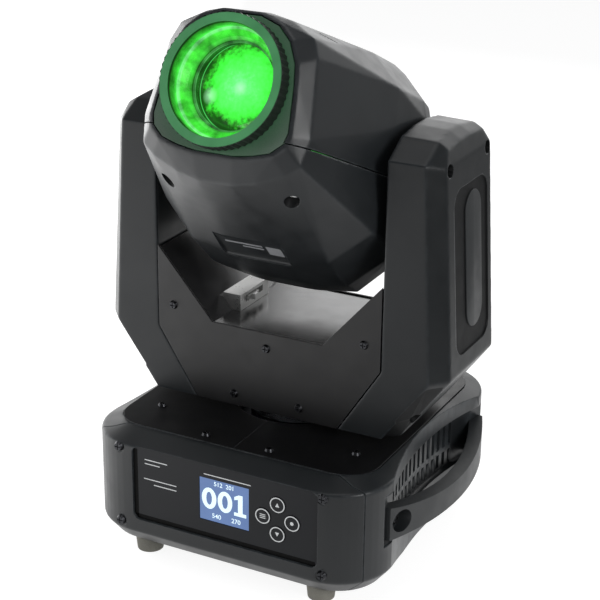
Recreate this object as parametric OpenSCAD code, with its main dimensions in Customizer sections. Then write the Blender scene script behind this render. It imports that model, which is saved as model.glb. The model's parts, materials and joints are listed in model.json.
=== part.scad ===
// Moving head light. A base with a control panel carries a two-armed yoke, which turns about Z
// (pan). The yoke carries the head, which tilts about X. Millimetres, +Z up, the panel faces -Y,
// the origin is on the floor under the pan axis. The head is drawn level in its own frame, with
// the tilt axis as its origin, and then raised to its rest angle.

/* [Base] */
// Half width of the base housing
base_half_w = 110; // [109:0.5:112]
// Half depth of the base housing
base_half_d = 115.3; // [114:0.1:116]
// Height of the black top plates above the floor
base_top_z = 93.6; // [93:0.1:95]
// Height of the underside of the base above the floor
foot_h = 12; // [11:0.5:13]
// Wall thickness of the moulded covers
wall = 2.5; // [2:0.1:3]
// Height of the side handles' lower edge above the floor
handle_z = 46; // [45:1:48]
// Height of a side handle at its ends
handle_end_h = 24; // [22:1:26]
// Height of a side handle at its middle
handle_mid_h = 16.5; // [14:0.5:20]

/* [Control panel] */
// Middle of the panel in X
panel_x = 3.7; // [3:0.1:4.5]
// Width of the panel
panel_w = 141.4; // [138:0.1:142]
// Middle of the panel in Z
panel_z = 60.5; // [59:0.1:62]
// Height of the panel
panel_h = 55; // [52:0.1:56]
// Width of the display window
display_w = 37.6; // [34:0.1:40]
// Height of the display window
display_h = 31.4; // [28:0.1:33]
// Radius of a button
button_r = 5.8; // [5:0.1:6]
// Distance of each button from the middle of its group
button_pitch = 10.9; // [10.5:0.1:12]
// Button travel
button_travel = 1; // [0.6:0.1:1.2]

/* [Yoke] */
// Inner face of each arm, from the middle
arm_in_x = 85.6; // [85.4:0.1:86]
// Half depth of the yoke
yoke_half_d = 48.5; // [47:0.5:50]
// Lowest level of the yoke
yoke_z = 101; // [100:0.5:102]
// Ridge height of the arms
arm_top_z = 309; // [307:0.5:311]
// Height of the tilt axis
tilt_z = 264; // [263:0.5:265]
// Floor of the tray between the arms
tray_z = 159; // [157:0.5:159]

/* [Head] */
// Rest elevation of the lens above level, in degrees
lens_elevation = 25; // [0:1:40]
// Distance from the tilt axis to the front of the lens ring
lens_reach = 134; // [133:0.5:135]
// Height of the lens axis above the tilt axis, with the head level
lens_rise = 31; // [30:0.5:32]
// Outer radius of the lens barrel
barrel_r = 38; // [37.5:0.1:38.5]
// Shaft radius of the trunnions
trunnion_r = 12; // [11:0.5:12.5]

/* [Drives] */
// Radius of the pan ring pulley
pan_pulley_r = 52; // [48:0.5:52]
// Radius of the tilt ring pulley
tilt_pulley_r = 34; // [30:0.5:36]
// Radius of both motor pulleys
drive_pulley_r = 8; // [7:0.5:9]
// Radius of the colour wheel and the gobo wheel
wheel_r = 38; // [37:0.5:39]

/* [Hidden] */
$fn = 64;
e = 0.01;
charcoal = [0.16, 0.17, 0.18];
black_sheet = [0.07, 0.07, 0.075];
zinc = [0.72, 0.73, 0.75];
dark_rubber = [0.25, 0.24, 0.22];
brass_tone = [0.78, 0.65, 0.35];
board_green = [0.05, 0.35, 0.18];
motor_black = [0.1, 0.1, 0.1];

// Base levels and outlines
base_corner_r = 40;
base_rear_corner_r = 46;
plate_half_w = 97.5;
plate_half_d = 95;
plate_corner_r = 24;
plate_t = 1.5;
rim_z = base_top_z + 0.8;
bevel_z = 88;
floor_t = 2;
bezel_back_y = -100;
scoop_x = 99;
scoop_arc_r = (75 ^ 2 + 11 ^ 2) / (2 * 11);
pocket_x = 94;
pocket_z = 43;
pocket_h = 37;
pocket_arc_r = (92 ^ 2 + 17 ^ 2) / (2 * 17);
handle_out_x = 128;
handle_half_l = 80;
handle_arc_r = (handle_half_l ^ 2 + 17.5 ^ 2) / (2 * 17.5);
handle_t = 10;
handle_dip = handle_end_h - handle_mid_h;
handle_dip_r = (handle_half_l ^ 2 + handle_dip ^ 2) / (2 * handle_dip);
handle_screw = [108, 70, handle_z + 11.5];
panel_y = -base_half_d + 1.9;
panel_t = 2.5;
button_mid = [44.5, 60.6];
display_mid = [3.95, 61.7];
front_screws = [for (x = [-78, 78]) for (z = [28.5, 85.2]) [x, z]];
plate_screws = [[-77, -60], [-26, -85.5], [23, -85.5], [76, -62], [-77, 60], [-26, 85.5],
  [23, 85.5], [76, 62]];
foot_xy = [67.7, 93.8];
bracket_holes = [60, 35];
bracket_hole_r = 4.5;
rear_z = 54;
rear_w = 150;
inlet_xz = [-50, 44];
fuse_xz = [-50, 69];
data_x = [-4, 42];
slot_count = 14;
slot_pitch = 7.5;

// Drive levels
bearing_z = 80;
pan_shaft_r = 22;
pan_pulley_z = 60;
pulley_w = 11;
belt_t = 1.5;
belt_gap = 0.2;
pan_motor_y = 74;
motor_size = 42.3;
tilt_motor_z = 148;
tilt_pulley_x = 98;

// Yoke outline: half widths and heights
knee_z = 147.4;
arm_front_x = [111.8, 120];
arm_side_x = [121.6, 130.8];
side_half_d = 36.5;
shoulder_z = 294.5;
arm_lean = atan((arm_side_x[1] - arm_side_x[0]) / (291 - knee_z));
notch_x = 42.5;
notch_slope = 1.147;
foot_in_x = 54.5;
sheet = 2;
upright_x = 91;
frame_z = yoke_z + wall;
frame_half_d = 44;
frame_foot_half_d = 33;
frame_foot_h = 12.5;
tray_rise = (arm_in_x - 1 - notch_x) * notch_slope;
inner_cover_z = tray_z + tray_rise - 4;
arm_screw_depth = 6.5;
arm_boss_len = 10.8;
plate_screw_xz = [[-73.3, 166.7], [73.3, 166.7], [0, 148.7], [-25.3, 109.7], [25.3, 109.7]];

// Head sections: distance along Y from the tilt axis, then one half outline from top to bottom
plate_y = -123;
plate_half = [[14, 77], [28, 72], [38, 62.5], [44.5, 49], [47, 35], [50, 5], [48, -2.5],
  [40, -9.5], [28, -12.8], [14, -14.9]];
band_half = [[15, 79], [30, 76], [47, 67], [52.5, 54.5], [59, 6], [56, -12], [47, -18.5],
  [28, -26], [12, -29.4]];
waist_half = [[20, 82.5], [52, 77.5], [75, 57], [78, 30], [79.5, -20], [78, -38], [51, -62],
  [20, -66.8]];
hub_half = [[20, 83], [52, 78.5], [78, 57], [83, 44], [83, -36], [80, -46], [52, -73],
  [20, -76.5]];
belly_half = [[20, 82], [51, 77], [74, 56], [80, 40], [80, -36], [76, -48], [50, -75],
  [20, -79.5]];
rear_half = [[20, 69], [42, 63], [58, 46], [63, 30], [63, -30], [58, -42], [42, -61],
  [20, -67]];
tail_half = [[16, 35], [28, 29], [32, 18], [32, -22], [28, -31], [16, -35]];
head_sections = [[plate_y, plate_half], [-114, band_half], [-36, waist_half], [0, hub_half],
  [22, belly_half], [55, rear_half], [88, tail_half]];
seam = 0.3;
head_screws_xy = [[44.7, -93], [38, 48]];
barrel_in_r = barrel_r - 2.4;
ring_r = barrel_r + 4.2;
ring_len = 10.4;
knurls = 60;
wheel_z = 3;
wheel_hole_r = 7.5;
wheel_bore_r = 2.5;
chassis_x = 59;
wheel_hole_pitch_r = lens_rise - wheel_z;
fan_z = 11;
fan_half = 25;

function both_sides(h) =
  concat(h, [for (i = [len(h) - 1:-1:0]) [-h[i][0], h[i][1]]]);
function shrink(h, t) =
  [for (p = h) [p[0] - t * p[0] / 60, p[1] - t * (p[1] - 4) / 60]];

// ---- Shared shapes ----

module rounded_plan(hw, hd, r) {
  square([2 * hw, 2 * (hd - r)], center = true);
  square([2 * (hw - r), 2 * hd], center = true);
  for (sx = [-1, 1]) for (sy = [-1, 1])
    translate([sx * (hw - r), sy * (hd - r)]) circle(r = r);
}

// A thin slab of the base's outline, for the hull of the housing
module plan_slab(z, inset) {
  translate([0, 0, z]) linear_extrude(0.1) for (sy = [-1, 1]) {
    r = (sy < 0 ? base_corner_r : base_rear_corner_r) - inset;
    for (sx = [-1, 1])
      translate([sx * (base_half_w - inset - r), sy * (base_half_d - inset - r)])
        circle(r = r, $fn = 48);
  }
}

module along_y(y, len) {
  translate([0, y + len, 0]) rotate([90, 0, 0]) linear_extrude(len) children();
}

module x_rod(x, len, r) {
  translate([x, 0, 0]) rotate([0, 90, 0]) cylinder(h = len, r = r);
}

module y_rod(y, len, r) {
  translate([0, y, 0]) rotate([-90, 0, 0]) cylinder(h = len, r = r);
}

module box(lo, hi) {
  translate(lo) cube(hi - lo);
}

// A cross-head screw whose head sits on z = 0 and whose shank points down
module screw(head_r = 3.2, head_h = 1.8, len = 5) {
  difference() {
    union() {
      cylinder(h = head_h, r1 = head_r, r2 = head_r * 0.72, $fn = 32);
      translate([0, 0, -len]) cylinder(h = len + e, r = 1.5, $fn = 24);
    }
    for (a = [0, 90]) rotate([0, 0, a])
      translate([-head_r * 0.6, -0.35, head_h - 0.9]) cube([head_r * 1.2, 0.7, 1]);
  }
}

module screw_hole(len = 6) {
  translate([0, 0, -len]) cylinder(h = len + 1, r = 1.6, $fn = 24);
}

module belt_loop(r1, r2, dist, width) {
  difference() {
    linear_extrude(width) belt_outline(r1 + belt_t, r2 + belt_t, dist);
    translate([0, 0, -1]) linear_extrude(width + 2) belt_outline(r1, r2, dist);
  }
}

// Two circles on the X axis joined by their common tangents
module belt_outline(r1, r2, dist) {
  hull() {
    circle(r = r1);
    translate([dist, 0]) circle(r = r2);
  }
}

module pulley(r, bore, width) {
  difference() {
    union() {
      cylinder(h = width, r = r, $fn = 96);
      cylinder(h = 0.8, r = r + 2.4, $fn = 96);
      translate([0, 0, width - 0.8]) cylinder(h = 0.8, r = r + 2.4, $fn = 96);
    }
    translate([0, 0, -1]) cylinder(h = width + 2, r = bore);
  }
}

// ---- Base ----

module base_block(inset) {
  hull() {
    plan_slab(foot_h + inset, 9 + inset);
    plan_slab(foot_h + 11, inset);
    plan_slab(bevel_z, inset);
    plan_slab(rim_z - 0.1 - inset, 16 + inset);
  }
}

module bezel_zone() {
  translate([0, 0, foot_h - 5]) linear_extrude(120)
    polygon([[-140, -140], [140, -140], [140, bezel_back_y], [92, bezel_back_y],
      [80, -plate_half_d - 1], [-80, -plate_half_d - 1], [-92, bezel_back_y],
      [-140, bezel_back_y]]);
}

module plate_plan(grow) {
  rounded_plan(plate_half_w + grow, plate_half_d + grow, plate_corner_r + grow);
}

// The whole side is scooped to a shallow arc in plan
module side_scoop(sx, grow) {
  translate([sx * (scoop_x + scoop_arc_r), 0, 0])
    cylinder(h = 120, r = scoop_arc_r + grow, $fn = 180);
}

// Behind the handle, the scoop has a deeper pocket
module side_pocket(sx, grow) {
  translate([sx * (pocket_x + pocket_arc_r), 0, pocket_z - grow])
    cylinder(h = pocket_h + 2 * grow, r = pocket_arc_r + grow, $fn = 180);
}

// The hollow of the base with its top opening, less the walls of the side pockets
module base_hollow() {
  difference() {
    union() {
      base_block(wall);
      translate([0, 0, foot_h - 1]) linear_extrude(floor_t + wall)
        rounded_plan(base_half_w - 13, base_half_d - 13, 26);
      translate([0, 0, bevel_z - 4]) linear_extrude(20) plate_plan(-7);
    }
    for (sx = [-1, 1]) side_scoop(sx, wall);
    for (sx = [-1, 1]) side_pocket(sx, wall);
  }
  translate([0, 0, base_top_z - plate_t]) linear_extrude(10) plate_plan(0.25);
}

module vent_slots(sx) {
  for (i = [0:slot_count - 1]) {
    y = -52 + i * slot_pitch;
    box([sx * 97 - 11, y, pocket_z + 1.5], [sx * 97 + 11, y + 3.7, pocket_z + 12]);
    box([sx * 97 - 11, y, pocket_z + 15.5], [sx * 97 + 11, y + 3.7, pocket_z + 36]);
  }
}

module base_housing() {
  color(charcoal) difference() {
    base_block(0);
    base_hollow();
    bezel_zone();
    for (sx = [-1, 1]) side_scoop(sx, 0);
    for (sx = [-1, 1]) side_pocket(sx, 0);
    for (sx = [-1, 1]) vent_slots(sx);
    along_y(base_half_d - 5, 10) translate([0, rear_z])
      square([rear_w + 0.4, 56], center = true);
    for (p = plate_screws) translate([p[0], p[1], base_top_z]) screw_hole();
    for (sx = [-1, 1]) handle_screw_places(sx) screw_hole(12);
  }
}

module panel_plan(grow) {
  translate([panel_x, panel_z])
    rounded_rect(panel_w / 2 + grow, panel_h / 2 + grow, 5 + grow);
}

module rounded_rect(hw, hh, r) {
  square([2 * hw, 2 * (hh - r)], center = true);
  square([2 * (hw - r), 2 * hh], center = true);
  for (sx = [-1, 1]) for (sy = [-1, 1]) translate([sx * (hw - r), sy * (hh - r)])
    circle(r = r);
}

module base_front_bezel() {
  color(charcoal) difference() {
    intersection() {
      base_block(0);
      bezel_zone();
    }
    base_hollow();
    along_y(-base_half_d - 5, 20) panel_plan(0.2);
    for (p = front_screws) translate([p[0], -base_half_d + 1.2, p[1]]) rotate([90, 0, 0]) {
      cylinder(h = 6, r = 4.6);
      screw_hole(8);
    }
  }
}

module base_top_plate(sx) {
  color(black_sheet) difference() {
    translate([0, 0, base_top_z - plate_t]) linear_extrude(plate_t) intersection() {
      plate_plan(0);
      translate([sx * 100.1, 0]) square([200, 300], center = true);
    }
    translate([0, 0, base_top_z - 3]) cylinder(h = 5, r = 46);
    for (p = plate_screws) translate([p[0], p[1], base_top_z]) screw_hole();
  }
}

module base_top_plate_left() { base_top_plate(-1); }
module base_top_plate_right() { base_top_plate(1); }

module base_bottom_plate() {
  color(black_sheet) difference() {
    translate([0, 0, foot_h]) linear_extrude(floor_t)
      rounded_plan(scoop_x - wall - 0.5, base_half_d - 13.2, 26);
    for (sx = [-1, 1]) for (sy = [-1, 1]) {
      translate([sx * bracket_holes[0], sy * bracket_holes[1], foot_h - 1])
        cylinder(h = floor_t + 2, r = bracket_hole_r);
      translate([sx * foot_xy[0], sy * foot_xy[1], foot_h - 1])
        cylinder(h = floor_t + 2, r = 2.1);
    }
  }
}

module rubber_feet() {
  color(dark_rubber)
    for (sx = [-1, 1]) for (sy = [-1, 1]) translate([sx * foot_xy[0], sy * foot_xy[1], 0]) {
      cylinder(h = foot_h, r1 = 9.2, r2 = 10.5);
      cylinder(h = foot_h + 4, r = 2);
    }
}

// A bow-shaped bar across the side pocket, lower at its middle, with its ends on the wall
module side_handle(sx) {
  arc_x = sx * (handle_out_x - handle_arc_r);
  color(charcoal) difference() {
    translate([0, 0, handle_z]) linear_extrude(handle_end_h) difference() {
      intersection() {
        translate([arc_x, 0]) circle(r = handle_arc_r, $fn = 240);
        translate([sx * 115, 0]) square([30, 2 * handle_half_l], center = true);
      }
      translate([arc_x, 0]) circle(r = handle_arc_r - handle_t, $fn = 240);
      translate([sx * (pocket_x + pocket_arc_r), 0]) difference() {
        circle(r = pocket_arc_r + 30, $fn = 180);
        circle(r = pocket_arc_r - e, $fn = 180);
      }
    }
    translate([0, 0, handle_z + handle_mid_h + handle_dip_r]) rotate([0, 90, 0])
      cylinder(h = 400, r = handle_dip_r, center = true, $fn = 360);
    handle_screw_places(sx) {
      cylinder(h = 20, r = 8);
      translate([0, 0, -8]) cylinder(h = 20, r = 1.8);
    }
  }
}

module handle_screw_places(sx) {
  for (sy = [-1, 1]) translate([sx * handle_screw[0], sy * handle_screw[1], handle_screw[2]])
    rotate([0, sx * 90, 0]) children();
}

module side_handle_left() { side_handle(-1); }
module side_handle_right() { side_handle(1); }

module button_places() {
  for (d = [[0, 1], [0, -1], [-1, 0], [1, 0]])
    translate([button_mid[0] + d[0] * button_pitch, button_mid[1] + d[1] * button_pitch])
      children();
}

module control_panel() {
  color([0.2, 0.21, 0.23]) along_y(panel_y, panel_t) difference() {
    panel_plan(0);
    translate(display_mid) square([display_w + 0.4, display_h + 0.4], center = true);
    button_places() circle(r = button_r + 0.25);
  }
}

module display_screen() {
  color([0.3, 0.45, 0.8]) {
    along_y(panel_y + 0.4, 3) translate(display_mid)
      square([display_w, display_h], center = true);
    along_y(panel_y + 3, 3) translate(display_mid)
      square([display_w + 7, display_h + 8], center = true);
  }
}

module button(d) {
  color([0.2, 0.21, 0.23])
    translate([button_mid[0] + d[0] * button_pitch, 0, button_mid[1] + d[1] * button_pitch]) {
      y_rod(panel_y - 0.5, panel_t + 1, button_r);
      y_rod(panel_y + panel_t + 0.3, 1, button_r + 1.2);
      y_rod(panel_y + panel_t + 1, 1.8, 1.8);
    }
}

module button_up() { button([0, 1]); }
module button_down() { button([0, -1]); }
module button_menu() { button([-1, 0]); }
module button_enter() { button([1, 0]); }

module control_board() {
  color(board_green) {
    along_y(panel_y + 8.5, 1.6) translate([panel_x, panel_z])
      square([panel_w - 20, panel_h - 8], center = true);
    along_y(panel_y + 10.1, 6) translate([-40, 50]) square([22, 16], center = true);
    along_y(panel_y + 10.1, 4) translate([20, 70]) square([14, 14], center = true);
  }
}

module base_chassis() {
  color(zinc) difference() {
    union() {
      box([-88, -54, bearing_z - sheet], [88, 46, bearing_z]);
      for (sx = [-1, 1]) box([sx * 87 - 1, -25, foot_h + floor_t], [sx * 87 + 1, 25, bearing_z]);
    }
    cylinder(h = 100, r = pan_shaft_r + 2);
  }
}

module power_supply() {
  color(zinc) difference() {
    union() {
      box([-84, -80, 32], [-30, 70, 57]);
      for (x = [-78, -36]) for (y = [-74, 64]) translate([x, y, foot_h + floor_t])
        cylinder(h = 20, r = 3);
    }
    for (i = [0:10]) box([-85, -70 + i * 12, 36], [-83, -66 + i * 12, 53]);
  }
}

module rear_connector_plate() {
  color(black_sheet) along_y(base_half_d - wall, sheet) difference() {
    translate([0, rear_z]) square([rear_w, 55.6], center = true);
    for (x = data_x) translate([x, rear_z]) circle(r = 12.2);
    translate(inlet_xz) square([27.4, 20.4], center = true);
    translate(fuse_xz) circle(r = 6.2);
  }
}

// Outline of a three-blade inlet's recess, with two corners cut off
module inlet_recess() {
  polygon([[-12, 8], [12, 8], [12, -3.5], [7.5, -8], [-7.5, -8], [-12, -3.5]]);
}

// The mains inlet, with a screw-cap fuse holder above it
module power_inlet() {
  face = base_half_d - wall + sheet;
  color(motor_black) {
    difference() {
      union() {
        along_y(face, 2.2) translate(inlet_xz) rounded_rect(15.5, 12.5, 2);
        along_y(face - 18, 18 + e) translate(inlet_xz) square([27, 20], center = true);
      }
      along_y(face - 15, 20) translate(inlet_xz) inlet_recess();
    }
    translate([fuse_xz[0], 0, fuse_xz[1]]) difference() {
      union() {
        y_rod(face - 17, 17 + e, 6);
        y_rod(face, 1.5, 8);
        y_rod(face + 1.5, 5.4, 6.6);
      }
      box([-4.6, face + 5.6, -0.7], [4.6, face + 8, 0.7]);
    }
  }
  color(brass_tone) for (d = [[-7, 0], [0, 3.4], [7, 0]])
    translate([inlet_xz[0] + d[0], 0, inlet_xz[1] + d[1]])
      box([-1, face - 16, -2], [1, face - 3.5, 2]);
}

module data_socket_shell(x) {
  face = base_half_d - wall + sheet;
  translate([x, 0, rear_z]) {
    along_y(face, 2.2) rounded_rect(13, 15.5, 2);
    y_rod(face - 16, 16 + e, 11.8);
  }
}

module data_pins(x, r, y, len) {
  for (a = [90, 210, 330]) translate([x + 4.3 * cos(a), 0, rear_z + 4.3 * sin(a)])
    y_rod(y, len, r);
}

module data_in_socket() {
  color(zinc) {
    difference() {
      data_socket_shell(data_x[0]);
      translate([data_x[0], 0, rear_z]) y_rod(base_half_d - 14, 30, 9.4);
    }
    data_pins(data_x[0], 1.2, base_half_d - 15, 10);
  }
}

module data_out_socket() {
  color(zinc) difference() {
    data_socket_shell(data_x[1]);
    translate([data_x[1], 0, rear_z]) difference() {
      y_rod(base_half_d - 12, 30, 9.4);
      y_rod(base_half_d - 13, 13, 7.8);
    }
    data_pins(data_x[1], 1.5, base_half_d - 10, 30);
  }
}

module pan_motor() {
  color(motor_black) {
    box([-motor_size / 2, pan_motor_y - motor_size / 2, foot_h + floor_t],
      [motor_size / 2, pan_motor_y + motor_size / 2, pan_pulley_z - 3]);
    translate([0, pan_motor_y, pan_pulley_z - 4]) cylinder(h = pulley_w + 6, r = 2.5);
  }
}

module pan_drive_pulley() {
  color(zinc) translate([0, pan_motor_y, pan_pulley_z])
    pulley(drive_pulley_r, 2.55, pulley_w);
}

module pan_belt() {
  color([0.08, 0.08, 0.08]) translate([0, 0, pan_pulley_z + 1.5]) rotate([0, 0, 90])
    belt_loop(pan_pulley_r + belt_gap, drive_pulley_r + belt_gap, pan_motor_y, 8);
}

module pan_bearing() {
  color(zinc) translate([0, 0, bearing_z]) difference() {
    union() {
      cylinder(h = 9, r = 34);
      cylinder(h = 3, r = 40);
    }
    translate([0, 0, -1]) cylinder(h = 12, r = pan_shaft_r + 0.05);
  }
}

module base_screws() {
  color(zinc) {
    for (p = front_screws)
      translate([p[0], -base_half_d + 1.1, p[1]]) rotate([90, 0, 0]) screw(3.6, 2, 5);
    for (p = plate_screws) translate([p[0], p[1], base_top_z]) screw();
    for (sx = [-1, 1]) handle_screw_places(sx) screw(4.5, 2.4, 6);
  }
}

// ---- Yoke ----

module xz_slab(half_d, pts) {
  rotate([90, 0, 0]) linear_extrude(2 * half_d, center = true) polygon(pts);
}

// One arm as a solid, with every outer face moved in by t and the inner face at in_x
module arm_block(t, in_x) {
  hull() {
    xz_slab(yoke_half_d - t, [[in_x, yoke_z + 3 + t], [arm_in_x + 2, yoke_z + 3 + t],
      [arm_front_x[1] - t, knee_z], [arm_front_x[0] - t, shoulder_z - t],
      [in_x, shoulder_z - t]]);
    xz_slab(side_half_d - t, [[in_x, yoke_z + t], [97 - t, yoke_z + t],
      [arm_side_x[1] - t, knee_z], [arm_side_x[0] - t, 291 - t], [in_x, shoulder_z]]);
    xz_slab(29 - t, [[in_x, arm_top_z - 3 - t], [112 - t, arm_top_z - 3.7 - t],
      [118.5 - t, 301.5 - t], [in_x, 290]]);
    xz_slab(8, [[in_x, arm_top_z - t], [110 - t, arm_top_z - 1 - t],
      [118 - t, 303.5 - t], [in_x, 290]]);
  }
}

// The foot of an arm, which reaches in under the front and rear plates
module arm_foot(t, in) {
  xz_slab(yoke_half_d - t, [[arm_in_x - in, knee_z + 2], [foot_in_x + 0.3 - in, yoke_z + t],
    [arm_in_x + 2, yoke_z + t], [arm_in_x + 12, yoke_z + 14 + t], [arm_in_x + 12, knee_z + 2]]);
}

module arm_screw_places(sx) {
  for (sy = [-1, 1]) translate([sx * 120.5, sy * 31.3, 288.5]) rotate([0, sx * 90, 0])
    children();
  for (sy = [-1, 1]) translate([sx * 106.4, sy * 36.5, 117.5])
    rotate([0, 0, sx * sy * 35]) rotate([0, sx * 130, 0]) children();
}

// The outer side face of an arm, seen square on: local z points out of it
module on_arm_side(sx) {
  mirror([sx < 0 ? 1 : 0, 0, 0]) translate([126.4, 0, 216.2])
    rotate([0, 90 - arm_lean, 0]) rotate([0, 0, 90]) children();
}

module arm_cover(sx) {
  color(charcoal) difference() {
    union() {
      mirror([sx < 0 ? 1 : 0, 0, 0]) difference() {
        union() {
          arm_block(0, arm_in_x);
          arm_foot(0, 0);
        }
        arm_block(wall, 70);
        arm_foot(wall, 20);
      }
      intersection() {
        mirror([sx < 0 ? 1 : 0, 0, 0]) arm_block(0, arm_in_x);
        arm_screw_places(sx) translate([0, 0, -arm_boss_len]) cylinder(h = 20, r = 6.4);
      }
    }
    on_arm_side(sx) translate([2, 0, -1]) linear_extrude(5) rounded_rect(28, 57, 12);
    arm_screw_places(sx) {
      translate([0, 0, -arm_screw_depth]) cylinder(h = 30, r = 4.4);
      translate([0, 0, -20]) cylinder(h = 20, r = 1.6);
    }
  }
}

module arm_cover_left() { arm_cover(-1); }
module arm_cover_right() { arm_cover(1); }

module arm_inner_cover(sx) {
  color(charcoal) difference() {
    mirror([sx < 0 ? 1 : 0, 0, 0]) intersection() {
      arm_block(wall + 0.3, 70);
      box([arm_in_x + 0.2, -60, inner_cover_z], [arm_in_x + 2.2, 60, 320]);
    }
    translate([0, 0, tilt_z]) x_rod(-150, 300, trunnion_r + 1.5);
  }
}

module arm_inner_cover_left() { arm_inner_cover(-1); }
module arm_inner_cover_right() { arm_inner_cover(1); }

module yoke_frame() {
  color(zinc) difference() {
    union() {
      box([-upright_x - sheet, -frame_foot_half_d, frame_z],
        [upright_x + sheet, frame_foot_half_d, frame_z + sheet]);
      box([-80, -frame_half_d, frame_z], [80, frame_half_d, frame_z + sheet]);
      for (sx = [-1, 1]) translate([sx * (upright_x + 1) - 1, 0, frame_z]) {
        box([0, -frame_foot_half_d, 0], [sheet, frame_foot_half_d, 184]);
        box([0, -frame_half_d, frame_foot_h], [sheet, frame_half_d, 184]);
      }
    }
    cylinder(h = 200, r = 15);
    translate([0, 0, tilt_z]) x_rod(-150, 300, 20);
    translate([0, 0, tilt_motor_z]) x_rod(50, 100, 11);
  }
}

module yoke_tray() {
  t = 1.5;
  color(black_sheet) xz_slab(yoke_half_d - 1.8, [
    [-arm_in_x + 1, tray_z + tray_rise], [-notch_x, tray_z], [notch_x, tray_z],
    [arm_in_x - 1, tray_z + tray_rise], [arm_in_x - 1, tray_z + tray_rise - 2 * t],
    [notch_x + 0.5, tray_z - t], [-notch_x - 0.5, tray_z - t],
    [-arm_in_x + 1, tray_z + tray_rise - 2 * t]]);
}

module yoke_plate_outline() {
  x = arm_in_x - 0.3;
  top = tray_z + 1 + (x - notch_x) * notch_slope;
  difference() {
    polygon([[-x, top], [-x, knee_z + 2], [-foot_in_x, yoke_z + 0.2],
      [foot_in_x, yoke_z + 0.2], [x, knee_z + 2], [x, top], [notch_x, tray_z + 1],
      [-notch_x, tray_z + 1]]);
    for (p = plate_screw_xz) translate(p) circle(r = 1.6);
  }
}

module yoke_front_plate() {
  color(black_sheet) along_y(-yoke_half_d, plate_t) yoke_plate_outline();
}

module yoke_rear_plate() {
  color(black_sheet) along_y(yoke_half_d - plate_t, plate_t) yoke_plate_outline();
}

module pan_shaft() {
  color(zinc) difference() {
    union() {
      translate([0, 0, pan_pulley_z - 4]) cylinder(h = 98 - pan_pulley_z, r = pan_shaft_r);
      translate([0, 0, 97.5]) cylinder(h = frame_z - 97.5, r = 38);
      translate([0, 0, 93.9]) cylinder(h = 4, r = 30);
    }
    translate([0, 0, 40]) cylinder(h = 80, r = 14);
  }
}

module pan_ring_pulley() {
  color([0.12, 0.12, 0.12]) translate([0, 0, pan_pulley_z])
    pulley(pan_pulley_r, pan_shaft_r + 0.02, pulley_w);
}

module tilt_motor() {
  color(motor_black) translate([0, 0, tilt_motor_z]) {
    box([upright_x - 37, -motor_size / 2, -motor_size / 2],
      [upright_x, motor_size / 2, motor_size / 2]);
    x_rod(upright_x - 1, tilt_pulley_x + pulley_w + 2 - upright_x, 2.5);
  }
}

module tilt_drive_pulley() {
  color(zinc) translate([tilt_pulley_x, 0, tilt_motor_z]) rotate([0, 90, 0])
    pulley(drive_pulley_r, 2.55, pulley_w);
}

module tilt_belt() {
  color([0.08, 0.08, 0.08]) translate([tilt_pulley_x + 1.5, 0, tilt_z]) rotate([0, 90, 0])
    belt_loop(tilt_pulley_r + belt_gap, drive_pulley_r + belt_gap, tilt_z - tilt_motor_z, 8);
}

module tilt_bearings() {
  color(zinc) for (sx = [-1, 1]) translate([sx * 92, 0, tilt_z]) difference() {
    union() {
      x_rod(-3.5, 7, 19.9);
      x_rod(sx > 0 ? -3.5 : 1.2, 2.3, 23);
    }
    x_rod(-10, 20, trunnion_r + 0.05);
  }
}

module tilt_lock_block() {
  color(zinc) difference() {
    xz_slab(20, [[-50, tray_z + 8.7], [-notch_x, tray_z + 0.1], [-36, tray_z + 0.1],
      [-36, tray_z + 12], [-50, tray_z + 12]]);
    box([-39, -12, tray_z + 5], [-30, 12, tray_z + 9.5]);
  }
}

// The slider stands in a slot of the lock block and moves along Y
module tilt_lock_slider() {
  color(zinc) {
    box([-38.7, -11.5, tray_z + 5.3], [-34, 2.5, tray_z + 9.2]);
    box([-35.5, -7, tray_z + 5.3], [-31.5, -2, tray_z + 9.2]);
  }
}

module yoke_screws() {
  color(zinc) {
    for (p = plate_screw_xz) for (s = [0, 1]) mirror([0, s, 0])
      translate([p[0], -yoke_half_d, p[1]]) rotate([90, 0, 0]) screw(3.2, 1.8, 3);
    for (sx = [-1, 1]) arm_screw_places(sx) translate([0, 0, -arm_screw_depth])
      screw(3.6, 2.2, 4);
  }
}

// ---- Head ----

module in_head() {
  translate([0, 0, tilt_z]) rotate([-lens_elevation, 0, 0]) children();
}

module on_lens_axis() {
  in_head() translate([0, 0, lens_rise]) children();
}

module head_block(t) {
  hull() for (s = head_sections)
    translate([0, s[0] < 0 ? s[0] + t * 0.6 : s[0] - t * s[0] / 88, 0]) rotate([90, 0, 0])
      linear_extrude(0.2, center = true) polygon(both_sides(shrink(s[1], t)));
}

// Plate outline drawn toward the lens axis by a factor
module lens_plate_plan(k) {
  polygon([for (p = both_sides(plate_half)) [p[0] * k, lens_rise + (p[1] - lens_rise) * k]]);
}

module head_bosses(z, r) {
  for (p = head_screws_xy) for (sx = [-1, 1]) translate([sx * p[0], p[1], z])
    cylinder(h = 80, r = r);
}

module head_screw_bores() {
  for (p = head_screws_xy) for (sx = [-1, 1]) translate([sx * p[0], p[1], -100]) {
    cylinder(h = 100 + head_screw_level(p), r = 4.8);
    cylinder(h = 114, r = 1.7);
  }
}

// Level of a screw head inside the bottom cover's counterbore
function head_screw_level(p) = p[1] < 0 ? -26 : -50;

module head_screws() {
  color(zinc) in_head() for (p = head_screws_xy) for (sx = [-1, 1])
    translate([sx * p[0], p[1], head_screw_level(p)]) rotate([180, 0, 0])
      screw(3.8, 2.2, 10 - head_screw_level(p));
}

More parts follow.
